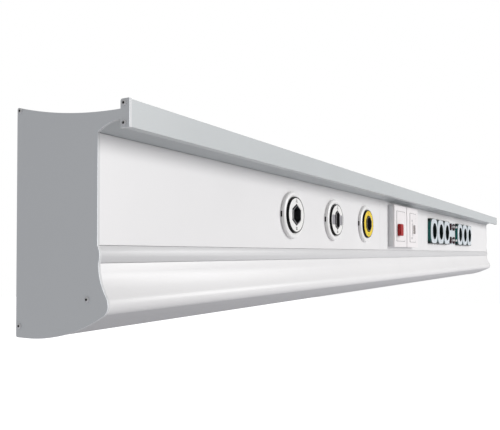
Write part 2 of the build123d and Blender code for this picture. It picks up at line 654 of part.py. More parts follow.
def pipe_clips():
    """Plastic saddles on the wall plate that hold the three pipes apart."""
    rise = PIPE_PITCH + PIPE_RADIUS + PIPE_CLIP_MARGIN
    saddle = block((BACK_WALL, GAS_HEIGHT - rise), (PIPE_RUN_DEPTH + PIPE_RADIUS / 2, GAS_HEIGHT + rise))
    for step in (-PIPE_PITCH, 0, PIPE_PITCH):
        saddle -= Pos(PIPE_RUN_DEPTH, GAS_HEIGHT + step) * Circle(PIPE_RADIUS + PIPE_CLIP_GAP)
    half = PIPE_CLIP_WIDTH / 2
    return Compound([along(saddle, x - half, x + half) for x in PIPE_CLIP_PLACES])


def plate_box():
    """Surface box on the panel, open at the back, with a window behind each plate."""
    outer = rounded(BOX_LENGTH, PLATE_SIZE, CORNER_RADIUS)
    inner = Rectangle(BOX_LENGTH - 2 * BOX_WALL, PLATE_SIZE - 2 * BOX_WALL)
    box = prism(outer, 0, PLATE_REAR) - prism(inner, -CUT_PAST, PLATE_REAR - BOX_WALL)
    for centre, module in ((CALL_CENTRE, CALL_MODULE), (HANDSET_CENTRE, HANDSET_MODULE)):
        window = Rectangle(module[0] - BOX_WALL, module[1] - BOX_WALL)
        box -= Pos(centre, 0) * prism(window, 0, PLATE_REAR + CUT_PAST)
    return box


def cover_plate(module):
    """Square plate with a window for its module."""
    window = Rectangle(module[0], module[1])
    return prism(rounded(PLATE_SIZE, PLATE_SIZE, CORNER_RADIUS) - window, PLATE_REAR, PLATES_PROUD)


def call_module():
    """Insert of the call plate with the opening for the button and four posts for the board."""
    width, tall = CALL_MODULE[0] - 2 * MODULE_GAP, CALL_MODULE[1] - 2 * MODULE_GAP
    face = rounded(width, tall, BUTTON_CORNER)
    opening = rounded(BUTTON_SIZE[0] + 2 * MODULE_GAP, BUTTON_SIZE[1] + 2 * MODULE_GAP, BUTTON_CORNER)
    body = prism(face, PLATE_REAR, PLATES_PROUD + MODULE_RAISE)
    body -= Pos(*BUTTON_OFFSET) * prism(opening, 0, PLATES_PROUD + CUT_PAST)
    for post in GridLocations(BOARD_SIZE[0] - 2 * POST_INSET, BOARD_SIZE[1] - 2 * POST_INSET, 2, 2):
        body += post * prism(Circle(POST_RADIUS), BOARD_FRONT, PLATE_REAR)
    return body


def call_button():
    """Red push button with a crowned front and a flange that keeps it behind the insert."""
    top = PLATES_PROUD + BUTTON_PROUD
    flange_front = PLATE_REAR - SLIDE_GAP
    shaft = prism(rounded(*BUTTON_SIZE, BUTTON_CORNER), flange_front, top)
    shaft = fillet(shaft.faces().sort_by(Axis.Z)[-1].edges(), BUTTON_CORNER / 3)
    size = (BUTTON_SIZE[0] + 2 * BUTTON_FLANGE, BUTTON_SIZE[1] + 2 * BUTTON_FLANGE)
    flange = prism(rounded(*size, BUTTON_CORNER), flange_front - BUTTON_FLANGE, flange_front)
    return shaft + flange


def call_board():
    """Circuit board on the posts of the call insert."""
    return prism(Rectangle(*BOARD_SIZE), BOARD_FRONT - BOARD_THICKNESS, BOARD_FRONT)


def call_switch():
    """Small switch on the board, under the button's flange."""
    rest = PLATE_REAR - SLIDE_GAP - BUTTON_FLANGE
    top = rest - BUTTON_TRAVEL - SLIDE_GAP
    return Pos(*BUTTON_OFFSET) * prism(Rectangle(*SWITCH_SIZE), BOARD_FRONT, top)


def button_spring():
    """Coil spring round the switch that lifts the button."""
    front = PLATE_REAR - SLIDE_GAP - BUTTON_FLANGE
    return coil(BUTTON_SPRING_RADIUS, BUTTON_SPRING_TURNS, BOARD_FRONT, front)


def handset_module():
    """Insert of the handset plate with a framed socket and two screw holes."""
    width, tall = HANDSET_MODULE[0] - 2 * MODULE_GAP, HANDSET_MODULE[1] - 2 * MODULE_GAP
    face_front = PLATES_PROUD + MODULE_RAISE
    floor = face_front + JACK_RAISE - JACK_DEPTH
    body = prism(rounded(width, tall, BUTTON_CORNER), PLATE_REAR, face_front)
    jack = prism(rounded(*JACK_SIZE, CORNER_RADIUS), floor - SKIN, face_front + JACK_RAISE)
    mouth = prism(rounded(*JACK_MOUTH, CORNER_RADIUS), floor, face_front + JACK_RAISE + CUT_PAST)
    body = body + Pos(*JACK_OFFSET) * jack - Pos(*JACK_OFFSET) * mouth
    hole = prism(Circle(JACK_SCREW + PRESS_GAP), PLATE_REAR - CUT_PAST, face_front + CUT_PAST)
    for place in JACK_SCREW_PLACES:
        body -= Pos(*place) * hole
    return body


def handset_screws():
    """Two round-head screws of the handset socket."""
    front = PLATES_PROUD + MODULE_RAISE
    screw = prism(Circle(JACK_SCREW), PLATE_REAR, front)
    screw += prism(Circle(JACK_SCREW_HEAD), front, front + JACK_RAISE)
    return Compound([Pos(*place) * screw for place in JACK_SCREW_PLACES])


def handset_pins():
    """Eight contact pins in two rows on the floor of the handset socket."""
    floor = PLATES_PROUD + MODULE_RAISE + JACK_RAISE - JACK_DEPTH
    pin = prism(Circle(PIN_RADIUS), floor, floor + JACK_DEPTH - 2 * JACK_RAISE)
    places = GridLocations(2 * PIN_PITCH, PIN_PITCH, 2, 4)
    return Compound([Pos(*JACK_OFFSET) * place * pin for place in places])


def socket_places(centre):
    return [centre - SOCKET_PITCH, centre, centre + SOCKET_PITCH]


def socket_frame():
    """Green frame of a three-gang block, hollow behind, with a tube round each well."""
    outer = rounded(BLOCK_LENGTH, SOCKET_FRAME_HEIGHT, CORNER_RADIUS)
    inner = Rectangle(BLOCK_LENGTH - 2 * FRAME_WALL, SOCKET_FRAME_HEIGHT - 2 * FRAME_WALL)
    well = WELL_RADIUS + WELL_WALL + PRESS_GAP
    tubes = Sketch() + [Pos(x, 0) * Circle(well + FRAME_WALL) for x in socket_places(0)]
    frame = prism(outer, 0, FRAME_PROUD) - prism(inner - tubes, -CUT_PAST, FRAME_PROUD - FRAME_WALL)
    for x in socket_places(0):
        frame -= Pos(x, 0) * prism(Circle(well), -CUT_PAST, FRAME_PROUD + CUT_PAST)
    return frame


def socket_tiles():
    """White rounded tiles on a frame, each with a raised ring round its well."""
    tile = prism(rounded(*SOCKET_TILE, TILE_CORNER), FRAME_PROUD, TILE_FRONT)
    tile += prism(Circle(WELL_RADIUS + 2 * WELL_WALL), TILE_FRONT, TILE_FRONT + WELL_RIM)
    tile -= prism(Circle(WELL_RADIUS + WELL_LIP + PRESS_GAP), 0, TILE_FRONT + WELL_RIM + CUT_PAST)
    return Compound([Pos(x, 0) * tile for x in socket_places(0)])


def socket_well():
    """Dark cup of a socket with two contact holes in its floor and a thin lip inside the tile."""
    front = TILE_FRONT + WELL_RIM
    cup = prism(Circle(WELL_RADIUS + WELL_WALL), WELL_FLOOR - WELL_WALL, FRAME_PROUD)
    cup += prism(Circle(WELL_RADIUS + WELL_LIP), FRAME_PROUD, front)
    cup -= prism(Circle(WELL_RADIUS), WELL_FLOOR, front + CUT_PAST)
    floor_rear = WELL_FLOOR - WELL_WALL
    hole = prism(Circle(CONTACT_RADIUS + PRESS_GAP), floor_rear - CUT_PAST, WELL_FLOOR + CUT_PAST)
    for place in GridLocations(CONTACT_SPACING, 0, 2, 1):
        cup -= place * hole
    return cup


def socket_contacts():
    """Brass contact tubes behind the holes of every well."""
    tube = Circle(CONTACT_RADIUS) - Circle(CONTACT_RADIUS - CONTACT_WALL)
    tube = prism(tube, WELL_FLOOR - CONTACT_LENGTH, WELL_FLOOR - CONTACT_WALL)
    pair = [place * tube for place in GridLocations(CONTACT_SPACING, 0, 2, 1)]
    wells = [on_front(x, PANEL_MIDDLE) for centre in BLOCK_PLACES for x in socket_places(centre)]
    return Compound([well * contact for well in wells for contact in pair])


def earth_clips():
    """Earth springs at the top and bottom of every well."""
    inner = WELL_RADIUS - PRESS_GAP - CLIP_THICKNESS
    strip = Pos(0, inner + CLIP_THICKNESS / 2) * Rectangle(CLIP_WIDTH, CLIP_THICKNESS)
    strip = prism(strip & Circle(WELL_RADIUS - PRESS_GAP), WELL_FLOOR, FRAME_PROUD - WELL_WALL)
    clips = []
    for centre in BLOCK_PLACES:
        for x in socket_places(centre):
            clips.append(on_front(x, PANEL_MIDDLE) * strip)
            clips.append(on_front(x, PANEL_MIDDLE) * Rot(0, 0, 180) * strip)
    return Compound(clips)


def bonding_places():
    """Frames of the four bonding studs on the panel."""
    centre = on_front(BONDING_CENTRE, PANEL_MIDDLE)
    return [centre * place for place in GridLocations(BONDING_PITCH, BONDING_PITCH, 2, 2)]


def bonding_plate():
    """White plate between the socket blocks, pierced for the studs."""
    plate = prism(rounded(*BONDING_PLATE, CORNER_RADIUS), 0, BONDING_THICKNESS)
    plate = on_front(BONDING_CENTRE, PANEL_MIDDLE) * plate
    for place in bonding_places():
        plate -= place * prism(Circle(STUD_SHANK + PRESS_GAP), -CUT_PAST, BONDING_THICKNESS + CUT_PAST)
    return plate


def bonding_studs():
    """Turned studs with a grooved neck and a nut behind the panel."""
    neck = STUD_PROUD - 2 * STUD_RADIUS
    stud = turned((0, -STUD_REAR), (STUD_SHANK, -STUD_REAR), (STUD_SHANK, COLLAR_FRONT),
                  (STUD_RADIUS, COLLAR_FRONT), (STUD_RADIUS, neck), (STUD_GROOVE, neck + STUD_BEVEL),
                  (STUD_GROOVE, neck + 2 * STUD_BEVEL), (STUD_RADIUS, neck + 3 * STUD_BEVEL),
                  (STUD_RADIUS, STUD_PROUD - STUD_BEVEL), (STUD_RADIUS - STUD_BEVEL, STUD_PROUD),
                  (0, STUD_PROUD))
    nut = prism(RegularPolygon(STUD_NUT, 6), -SKIN - STUD_NUT_THICKNESS, -SKIN)
    return Compound([place * (stud + nut) for place in bonding_places()])


def bonding_collars():
    """Insulating rings round the studs."""
    ring = Circle(STUD_COLLAR) - Circle(STUD_SHANK + PRESS_GAP)
    ring = prism(ring, BONDING_THICKNESS, COLLAR_FRONT)
    return Compound([place * ring for place in bonding_places()])


def terminal_block():
    """Mains terminals on the wall plate: wire mouths below and screw wells in the front."""
    length, tall, deep = TERMINAL_BLOCK
    pitch = length / TERMINAL_WAYS
    body = prism(rounded(length, tall, CORNER_RADIUS), 0, deep)
    for place in GridLocations(pitch, tall / 2, TERMINAL_WAYS, 2):
        body -= place * prism(Circle(pitch / 4), deep / 2, deep + CUT_PAST)
    for place in GridLocations(pitch, 0, TERMINAL_WAYS, 1):
        mouth = Rot(90, 0, 0) * prism(Circle(pitch / 4), -tall, tall)
        body -= Pos(0, 0, deep / 4) * place * mouth
    return on_front(HALF_LENGTH - TERMINAL_MARGIN, GAS_HEIGHT, BACK_WALL) * body


def earth_bar():
    """Brass bar on the wall plate with a row of clamp screws."""
    length, tall, deep = EARTH_BAR
    pitch = length / EARTH_SCREWS
    bar = prism(Rectangle(length, tall + deep), 0, deep)
    for place in GridLocations(pitch, 0, EARTH_SCREWS, 1):
        bar += place * prism(Circle(tall / 2), deep, deep + tall / 2)
    return on_front(HALF_LENGTH - EARTH_MARGIN, GAS_HEIGHT, BACK_WALL) * bar


PARTS = {
    "back_profile": back_profile(),
    "top_profile": top_profile(),
    "wing_screws": wing_screws(),
    "gas_panel": front_panel(-PROFILE_LENGTH / 2, GAS_JOINT - PANEL_GAP / 2),
    "signal_panel": front_panel(GAS_JOINT + PANEL_GAP / 2, MAINS_JOINT - PANEL_GAP / 2),
    "socket_panel": front_panel(MAINS_JOINT + PANEL_GAP / 2, BLANK_JOINT - PANEL_GAP / 2),
    "blank_panel": front_panel(BLANK_JOINT + PANEL_GAP / 2, PROFILE_LENGTH / 2),
    "lower_cover": lower_cover(),
    "left_end_plate": end_plate(-1),
    "right_end_plate": end_plate(1),
    "end_screws": end_screws(),
    "cross_dividers": cross_dividers(),
    "pipe_clips": pipe_clips(),
    "socket_contacts": socket_contacts(),
    "earth_clips": earth_clips(),
    "bonding_plate": bonding_plate(),
    "bonding_studs": bonding_studs(),
    "bonding_collars": bonding_collars(),
    "terminal_block": terminal_block(),
    "earth_bar": earth_bar(),
}

OUTLETS = [on_front(x, GAS_HEIGHT) for x in GAS_PLACES]
PARTS["gas_bodies"] = Compound([outlet * gas_body() for outlet in OUTLETS])
PARTS["inlet_caps"] = Compound([outlet * inlet_cap() for outlet in OUTLETS])
PARTS["valve_springs"] = Compound([outlet * valve_spring() for outlet in OUTLETS])
PARTS["collar_springs"] = Compound([outlet * collar_spring() for outlet in OUTLETS])
PARTS["probe_seals"] = Compound([outlet * probe_seal() for outlet in OUTLETS])
for index, outlet in enumerate(OUTLETS):
    number = index + 1
    PARTS[f"rosette_{number}"] = outlet * rosette()
    PARTS[f"release_collar_{number}"] = outlet * release_collar()
    PARTS[f"face_disc_{number}"] = outlet * face_disc(index)
    PARTS[f"probe_guide_{number}"] = outlet * probe_guide(index)
    PARTS[f"gas_valve_{number}"] = outlet * gas_valve()
    PARTS[f"gas_pipe_{number}"] = gas_pipe(index)

PLATES = on_front(PLATES_CENTRE, PANEL_MIDDLE)
CALL = PLATES * Pos(CALL_CENTRE, 0)
HANDSET = PLATES * Pos(HANDSET_CENTRE, 0)
PARTS["plate_box"] = PLATES * plate_box()
PARTS["call_plate"] = CALL * cover_plate(CALL_MODULE)
PARTS["call_module"] = CALL * call_module()
PARTS["call_button"] = CALL * Pos(*BUTTON_OFFSET) * call_button()
PARTS["call_board"] = CALL * call_board()
PARTS["call_switch"] = CALL * call_switch()
PARTS["button_spring"] = CALL * Pos(*BUTTON_OFFSET) * button_spring()
PARTS["handset_plate"] = HANDSET * cover_plate(HANDSET_MODULE)
PARTS["handset_module"] = HANDSET * handset_module()
PARTS["handset_screws"] = HANDSET * handset_screws()
PARTS["handset_pins"] = HANDSET * handset_pins()

for number, centre in enumerate(BLOCK_PLACES, 1):
    middle = on_front(centre, PANEL_MIDDLE)
    PARTS[f"socket_frame_{number}"] = middle * socket_frame()
    PARTS[f"socket_tiles_{number}"] = middle * socket_tiles()
    wells = [on_front(x, PANEL_MIDDLE) * socket_well() for x in socket_places(centre)]
    PARTS[f"socket_wells_{number}"] = Compound(wells)

os.makedirs("parts", exist_ok=True)
for name, solid in PARTS.items():
    export_step(solid, f"parts/{name}.step")
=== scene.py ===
import math

import bmesh
import bpy
from mathutils import Matrix, Vector


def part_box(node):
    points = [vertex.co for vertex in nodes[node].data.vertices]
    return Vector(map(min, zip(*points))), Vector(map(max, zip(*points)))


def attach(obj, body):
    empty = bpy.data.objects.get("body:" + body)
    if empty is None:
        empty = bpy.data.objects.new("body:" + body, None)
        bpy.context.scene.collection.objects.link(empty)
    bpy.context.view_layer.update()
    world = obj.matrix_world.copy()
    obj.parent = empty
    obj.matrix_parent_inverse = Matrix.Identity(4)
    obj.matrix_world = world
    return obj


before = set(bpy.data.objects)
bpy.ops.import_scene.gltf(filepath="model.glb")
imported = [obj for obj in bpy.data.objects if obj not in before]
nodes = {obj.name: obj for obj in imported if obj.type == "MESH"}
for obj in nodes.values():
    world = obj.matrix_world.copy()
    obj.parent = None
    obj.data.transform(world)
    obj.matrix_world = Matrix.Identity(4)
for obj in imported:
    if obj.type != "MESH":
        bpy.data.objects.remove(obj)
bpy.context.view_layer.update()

# The studio. The unit hangs free over a low floor. A broad soft lamp stands in front, to the right and
# above, a weaker one lights the wing from the top, and the air fills the rest. Air and floor look
# white to the camera, whatever light they give.
camera_data = bpy.data.cameras.new("camera")
camera_data.lens = 43.44
camera_data.sensor_width = 36.0
camera_data.shift_y = 0.0545
camera_data.clip_end = 50.0
camera = bpy.data.objects.new("camera", camera_data)
bpy.context.scene.collection.objects.link(camera)
view_turn, view_pitch = math.radians(30.464), math.radians(1.06)
camera.location = (-1.3843, -0.4851, -0.0301)
camera.rotation_euler = (math.pi / 2 + view_pitch, 0.0, view_turn - math.pi / 2)
bpy.context.scene.camera = camera

air_strength, white_light = 0.38, (1.0, 1.0, 1.0, 1.0)
world = bpy.data.worlds.new("studio_air")
world.use_nodes = True
air = world.node_tree
fill = air.nodes["Background"]
fill.inputs["Color"].default_value = white_light
fill.inputs["Strength"].default_value = air_strength
backdrop = air.nodes.new("ShaderNodeBackground")
backdrop.inputs["Color"].default_value = white_light
seen = air.nodes.new("ShaderNodeLightPath")
either = air.nodes.new("ShaderNodeMixShader")
air.links.new(seen.outputs["Is Camera Ray"], either.inputs["Fac"])
air.links.new(fill.outputs["Background"], either.inputs[1])
air.links.new(backdrop.outputs["Background"], either.inputs[2])
air.links.new(either.outputs["Shader"], air.nodes["World Output"].inputs["Surface"])
bpy.context.scene.world = world
bpy.context.scene.view_settings.view_transform = "Standard"

lamp_target = Vector((0.0, -0.1, 0.0))
front_lamp = ("front_lamp", Vector((1.7, -4.8, 1.4)), 2.4, 210.0)
top_lamp = ("top_lamp", Vector((0.2, -0.9, 3.0)), 2.0, 12.0)
for lamp_name, place, lamp_size, power in (front_lamp, top_lamp):
    lamp_data = bpy.data.lights.new(lamp_name, "AREA")
    lamp_data.size = lamp_size
    lamp_data.energy = power
    lamp = bpy.data.objects.new(lamp_name, lamp_data)
    bpy.context.scene.collection.objects.link(lamp)
    lamp.visible_camera = False
    lamp.location = place
    lamp.rotation_euler = (lamp_target - place).to_track_quat("-Z", "Y").to_euler()

floor_drop, floor_half = 1.1, 12.0
floor_mesh = bpy.data.meshes.new("studio_floor")
floor_bm = bmesh.new()
bmesh.ops.create_grid(floor_bm, x_segments=1, y_segments=1, size=floor_half)
bmesh.ops.translate(floor_bm, verts=floor_bm.verts, vec=(0.0, 0.0, -floor_drop))
floor_bm.to_mesh(floor_mesh)
floor_bm.free()
studio_floor = bpy.data.objects.new("studio_floor", floor_mesh)
bpy.context.scene.collection.objects.link(studio_floor)
floor_paint = bpy.data.materials.new("studio_floor_paint")
floor_paint.use_nodes = True
floor_tree = floor_paint.node_tree
floor_shader = floor_tree.nodes["Principled BSDF"]
floor_shader.inputs["Base Color"].default_value = (0.78, 0.78, 0.81, 1.0)
floor_shader.inputs["Roughness"].default_value = 0.8
floor_glow = floor_tree.nodes.new("ShaderNodeLightPath")
floor_shader.inputs["Emission Color"].default_value = white_light
floor_tree.links.new(floor_glow.outputs["Is Camera Ray"], floor_shader.inputs["Emission Strength"])
floor_mesh.materials.append(floor_paint)


# The trunking: aluminium extrusions and folded covers, powder coated a cool white. The coat has a
# fine orange peel and a faint change of gloss, and every cut edge is broken by a small radius. The
# wing gets a darker copy of the coat, painted shade for the shade under its edge, and the back
# profile's copy is darker than the panels'. The end plates' edges are painted darker than their
# faces: painted shade on the edges.
def surface_group(name, fine, cloud, roughness_spread, tone_spread, stretch=(1.0, 1.0, 1.0)):
    """A fine relief and a slow change of roughness and tone. Noises are (scale, detail, distortion)."""
    group = bpy.data.node_groups.new(name, "ShaderNodeTree")
    face = group.interface
    face.new_socket("Colour", in_out="INPUT", socket_type="NodeSocketColor")
    face.new_socket("Relief", in_out="INPUT", socket_type="NodeSocketFloat")
    face.new_socket("Roughness", in_out="INPUT", socket_type="NodeSocketFloat")
    face.new_socket("Colour", in_out="OUTPUT", socket_type="NodeSocketColor")
    face.new_socket("Roughness", in_out="OUTPUT", socket_type="NodeSocketFloat")
    face.new_socket("Height", in_out="OUTPUT", socket_type="NodeSocketFloat")
    tree, link = group.nodes, group.links.new
    source, target = tree.new("NodeGroupInput"), tree.new("NodeGroupOutput")
    place = tree.new("ShaderNodeTexCoord")
    stretched = tree.new("ShaderNodeMapping")
    stretched.inputs["Scale"].default_value = stretch
    fine_noise, cloud_noise = tree.new("ShaderNodeTexNoise"), tree.new("ShaderNodeTexNoise")
    for noise, sizes in ((fine_noise, fine), (cloud_noise, cloud)):
        for socket, value in zip(("Scale", "Detail", "Distortion"), sizes):
            noise.inputs[socket].default_value = value
    link(place.outputs["Object"], stretched.inputs["Vector"])
    link(stretched.outputs["Vector"], fine_noise.inputs["Vector"])
    link(place.outputs["Object"], cloud_noise.inputs["Vector"])
    height = tree.new("ShaderNodeMath")
    height.operation = "MULTIPLY"
    link(fine_noise.outputs["Fac"], height.inputs[0])
    link(source.outputs["Relief"], height.inputs[1])
    link(height.outputs[0], target.inputs["Height"])
    spread, tone = tree.new("ShaderNodeMapRange"), tree.new("ShaderNodeMapRange")
    for node, (low, high) in ((spread, roughness_spread), (tone, tone_spread)):
        node.inputs["To Min"].default_value = low
        node.inputs["To Max"].default_value = high
        link(cloud_noise.outputs["Fac"], node.inputs["Value"])
    rough = tree.new("ShaderNodeMath")
    link(source.outputs["Roughness"], rough.inputs[0])
    link(spread.outputs["Result"], rough.inputs[1])
    link(rough.outputs[0], target.inputs["Roughness"])
    shade = tree.new("ShaderNodeHueSaturation")
    link(tone.outputs["Result"], shade.inputs["Value"])
    link(source.outputs["Colour"], shade.inputs["Color"])
    link(shade.outputs["Color"], target.inputs["Colour"])
    return group


def surfaced(name, group, colour, roughness, relief, bump_strength, bump_depth):
    """A material whose colour, roughness and height come from one of the surface groups."""
    material = bpy.data.materials.new(name)
    material.use_nodes = True
    tree = material.node_tree
    shader = tree.nodes["Principled BSDF"]
    surface = tree.nodes.new("ShaderNodeGroup")
    surface.node_tree = group
    surface.inputs["Colour"].default_value = (*colour, 1.0)
    surface.inputs["Roughness"].default_value = roughness
    surface.inputs["Relief"].default_value = relief
    bump = tree.nodes.new("ShaderNodeBump")
    bump.inputs["Strength"].default_value = bump_strength
    bump.inputs["Distance"].default_value = bump_depth
    tree.links.new(surface.outputs["Colour"], shader.inputs["Base Color"])
    tree.links.new(surface.outputs["Roughness"], shader.inputs["Roughness"])
    tree.links.new(surface.outputs["Height"], bump.inputs["Height"])
    tree.links.new(bump.outputs["Normal"], shader.inputs["Normal"])
    return material


powder_coat = surface_group(
    "powder_coat",
    fine=(900.0, 2.0, 0.0),
    cloud=(14.0, 3.0, 0.0),
    roughness_spread=(-0.05, 0.05),
    tone_spread=(0.985, 1.015),
)


def coated_metal(name, colour, roughness=0.4, peel=0.15):
    return surfaced(name, powder_coat, colour, roughness, peel, bump_strength=0.25, bump_depth=0.0002)


def toned_by_place(material, axis, middle, start, full, near, far):
    """Blends a surface from one colour to another with its distance from the middle along an axis."""
    tree = material.node_tree
    place = tree.nodes.new("ShaderNodeTexCoord")
    axes = tree.nodes.new("ShaderNodeSeparateXYZ")
    from_middle = tree.nodes.new("ShaderNodeMath")
    from_middle.operation = "SUBTRACT"
    from_middle.inputs[1].default_value = middle
    distance = tree.nodes.new("ShaderNodeMath")
    distance.operation = "ABSOLUTE"
    reach = tree.nodes.new("ShaderNodeMapRange")
    reach.inputs["From Min"].default_value = start
    reach.inputs["From Max"].default_value = full
    blend = tree.nodes.new("ShaderNodeValToRGB")
    blend.color_ramp.elements[0].color = (*near, 1.0)
    blend.color_ramp.elements[1].color = (*far, 1.0)
    tree.links.new(place.outputs["Object"], axes.inputs[0])
    tree.links.new(axes.outputs[axis], from_middle.inputs[0])
    tree.links.new(from_middle.outputs[0], distance.inputs[0])
    tree.links.new(distance.outputs[0], reach.inputs["Value"])
    tree.links.new(reach.outputs["Result"], blend.inputs["Fac"])
    tree.links.new(blend.outputs["Color"], tree.nodes["Group"].inputs["Colour"])


weld_reach, edge_angle = 1e-6, math.radians(40)


def finish(node, material, edge=0.0004):
    """Gives a CAD node its material and breaks its sharp edges."""
    piece = nodes[node]
    piece.data.materials.clear()
    piece.data.materials.append(material)
    piece.modifiers.new("weld", "WELD").merge_threshold = weld_reach
    if edge:
        rounding = piece.modifiers.new("broken_edges", "BEVEL")
        rounding.width = edge
        rounding.segments = 2
        rounding.limit_method = "ANGLE"
        rounding.angle_limit = edge_angle
        rounding.harden_normals = True


profile_coat = coated_metal("profile_coat", (0.61, 0.605, 0.61))
# Painted shade: the wing's copy of the coat is darker than the panels', for the shade under its edge.
shaded_wing_coat = coated_metal("shaded_wing_coat", (0.5, 0.52, 0.525))
panel_coat = coated_metal("panel_coat", (0.76, 0.75, 0.75))
# Painted shade: the end plates' edges blend to a darker tone than their faces.
face_tone, shaded_edge_tone = (0.85, 0.875, 0.9), (0.62, 0.625, 0.63)
end_coat = coated_metal("end_coat", face_tone, roughness=0.5, peel=0.25)
tone_start, tone_full = 0.99939, 0.99941
toned_by_place(end_coat, "X", 0.0, tone_start, tone_full, near=shaded_edge_tone, far=face_tone)
finish("back_profile", profile_coat)
finish("top_profile", shaded_wing_coat)
for section in ("gas", "signal", "socket", "blank"):
    finish(f"{section}_panel", panel_coat)
finish("lower_cover", panel_coat)
finish("left_end_plate", end_coat, edge=0.0005)
finish("right_end_plate", end_coat, edge=0.0005)


# Screws of the end plates, the wing and the handset socket: steel, zinc plated, turned heads.
# The plating is faintly mottled and carries the fine lines of the turning.
turned_metal = surface_group(
    "turned_metal",
    fine=(2400.0, 2.0, 0.0),
    cloud=(160.0, 4.0, 0.0),
    roughness_spread=(-0.08, 0.12),
    tone_spread=(0.88, 1.08),
    stretch=(0.12, 1.0, 1.0),
)


def machined(name, colour, roughness=0.3, lines=0.3):
    material = surfaced(name, turned_metal, colour, roughness, lines, bump_strength=0.3, bump_depth=0.00005)
    material.node_tree.nodes["Principled BSDF"].inputs["Metallic"].default_value = 1.0
    return material


zinc = machined("zinc_plate", (0.62, 0.62, 0.63), roughness=0.32)
head_zinc = machined("head_zinc", (0.85, 0.85, 0.86), roughness=0.22, lines=0.15)
bright_zinc = machined("bright_zinc", (0.8, 0.8, 0.8), roughness=0.25)
finish("end_screws", head_zinc, edge=0.0007)
finish("wing_screws", zinc, edge=0.0002)
finish("handset_screws", bright_zinc, edge=0.0002)


# Gas outlets: moulded white rings, black sliding collars, a coloured disc pressed into each, and a
# dark sleeve inside the key opening. The mouldings are smooth, with a faint grain of the tool.
moulding = surface_group(
    "moulding",
    fine=(1800.0, 3.0, 0.0),
    cloud=(45.0, 2.0, 0.6),
    roughness_spread=(-0.04, 0.06),
    tone_spread=(0.97, 1.03),
)


def moulded(name, colour, roughness=0.3, grain=0.1, shine=0.5):
    material = surfaced(name, moulding, colour, roughness, grain, bump_strength=0.2, bump_depth=0.0001)
    material.node_tree.nodes["Principled BSDF"].inputs["Specular IOR Level"].default_value = shine
    return material


outlet_white = moulded("outlet_white", (0.84, 0.83, 0.82), roughness=0.28)
collar_black = moulded("collar_black", (0.004, 0.004, 0.0045), roughness=0.4, grain=0.3, shine=0.15)
sleeve_metal = machined("sleeve_metal", (0.3, 0.3, 0.31), roughness=0.3)
# Painted shade: the gas bodies, seen only deep in the key openings, are given near-black for the shade in
# there.
gas_body_painted_shade = coated_metal("gas_body_painted_shade", (0.01, 0.01, 0.011), roughness=0.5)
disc_colours = [
    moulded("disc_white_1", (0.84, 0.83, 0.81), roughness=0.25),
    moulded("disc_white_2", (0.84, 0.83, 0.81), roughness=0.25),
    moulded("disc_yellow", (0.86, 0.62, 0.03), roughness=0.25),
]
outlet_count = len(disc_colours)
for number, disc_colour in enumerate(disc_colours, start=1):
    finish(f"rosette_{number}", outlet_white, edge=0.0006)
    finish(f"release_collar_{number}", collar_black, edge=0.0003)
    finish(f"face_disc_{number}", disc_colour, edge=0.0003)
    finish(f"probe_guide_{number}", sleeve_metal, edge=0.0002)
finish("gas_bodies", gas_body_painted_shade, edge=0.0003)


# Marks printed on the discs: a triangle with a dot in it above the opening and two short bars below.
# They are pad printed, a hair proud of the disc, in grey, or in orange and green on the yellow disc.
def on_face(bm, node, up, verts):
    """Moves what was drawn about the origin, facing +Z, to a height above the middle of a node's front."""
    low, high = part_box(node)
    middle = Vector(((low.x + high.x) / 2, low.y, (low.z + high.z) / 2 + up))
    place = Matrix.Translation(middle) @ Matrix.Rotation(math.pi / 2, 4, "X")
    bmesh.ops.transform(bm, matrix=place, verts=verts)


def thickened(bm, faces, thickness):
    """Draws flat faces out into a closed plate and returns its vertices."""
    verts = {vert for face in faces for vert in face.verts}
    grown = bmesh.ops.extrude_face_region(bm, geom=faces, use_keep_orig=True)["geom"]
    raised = [item for item in grown if isinstance(item, bmesh.types.BMVert)]
    bmesh.ops.translate(bm, verts=raised, vec=(0.0, 0.0, thickness))
    return list(verts) + raised


crease_angle = math.radians(35)


def built(name, bm, material, body):
    """Makes the finished mesh object of a new piece and hangs it on its body."""
    bmesh.ops.recalc_face_normals(bm, faces=bm.faces)
    mesh = bpy.data.meshes.new(name)
    bm.to_mesh(mesh)
    bm.free()
    for polygon in mesh.polygons:
        polygon.use_smooth = True
    mesh.set_sharp_from_angle(angle=crease_angle)
    mesh.materials.append(material)
    piece = bpy.data.objects.new(name, mesh)
    bpy.context.scene.collection.objects.link(piece)
    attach(piece, body)


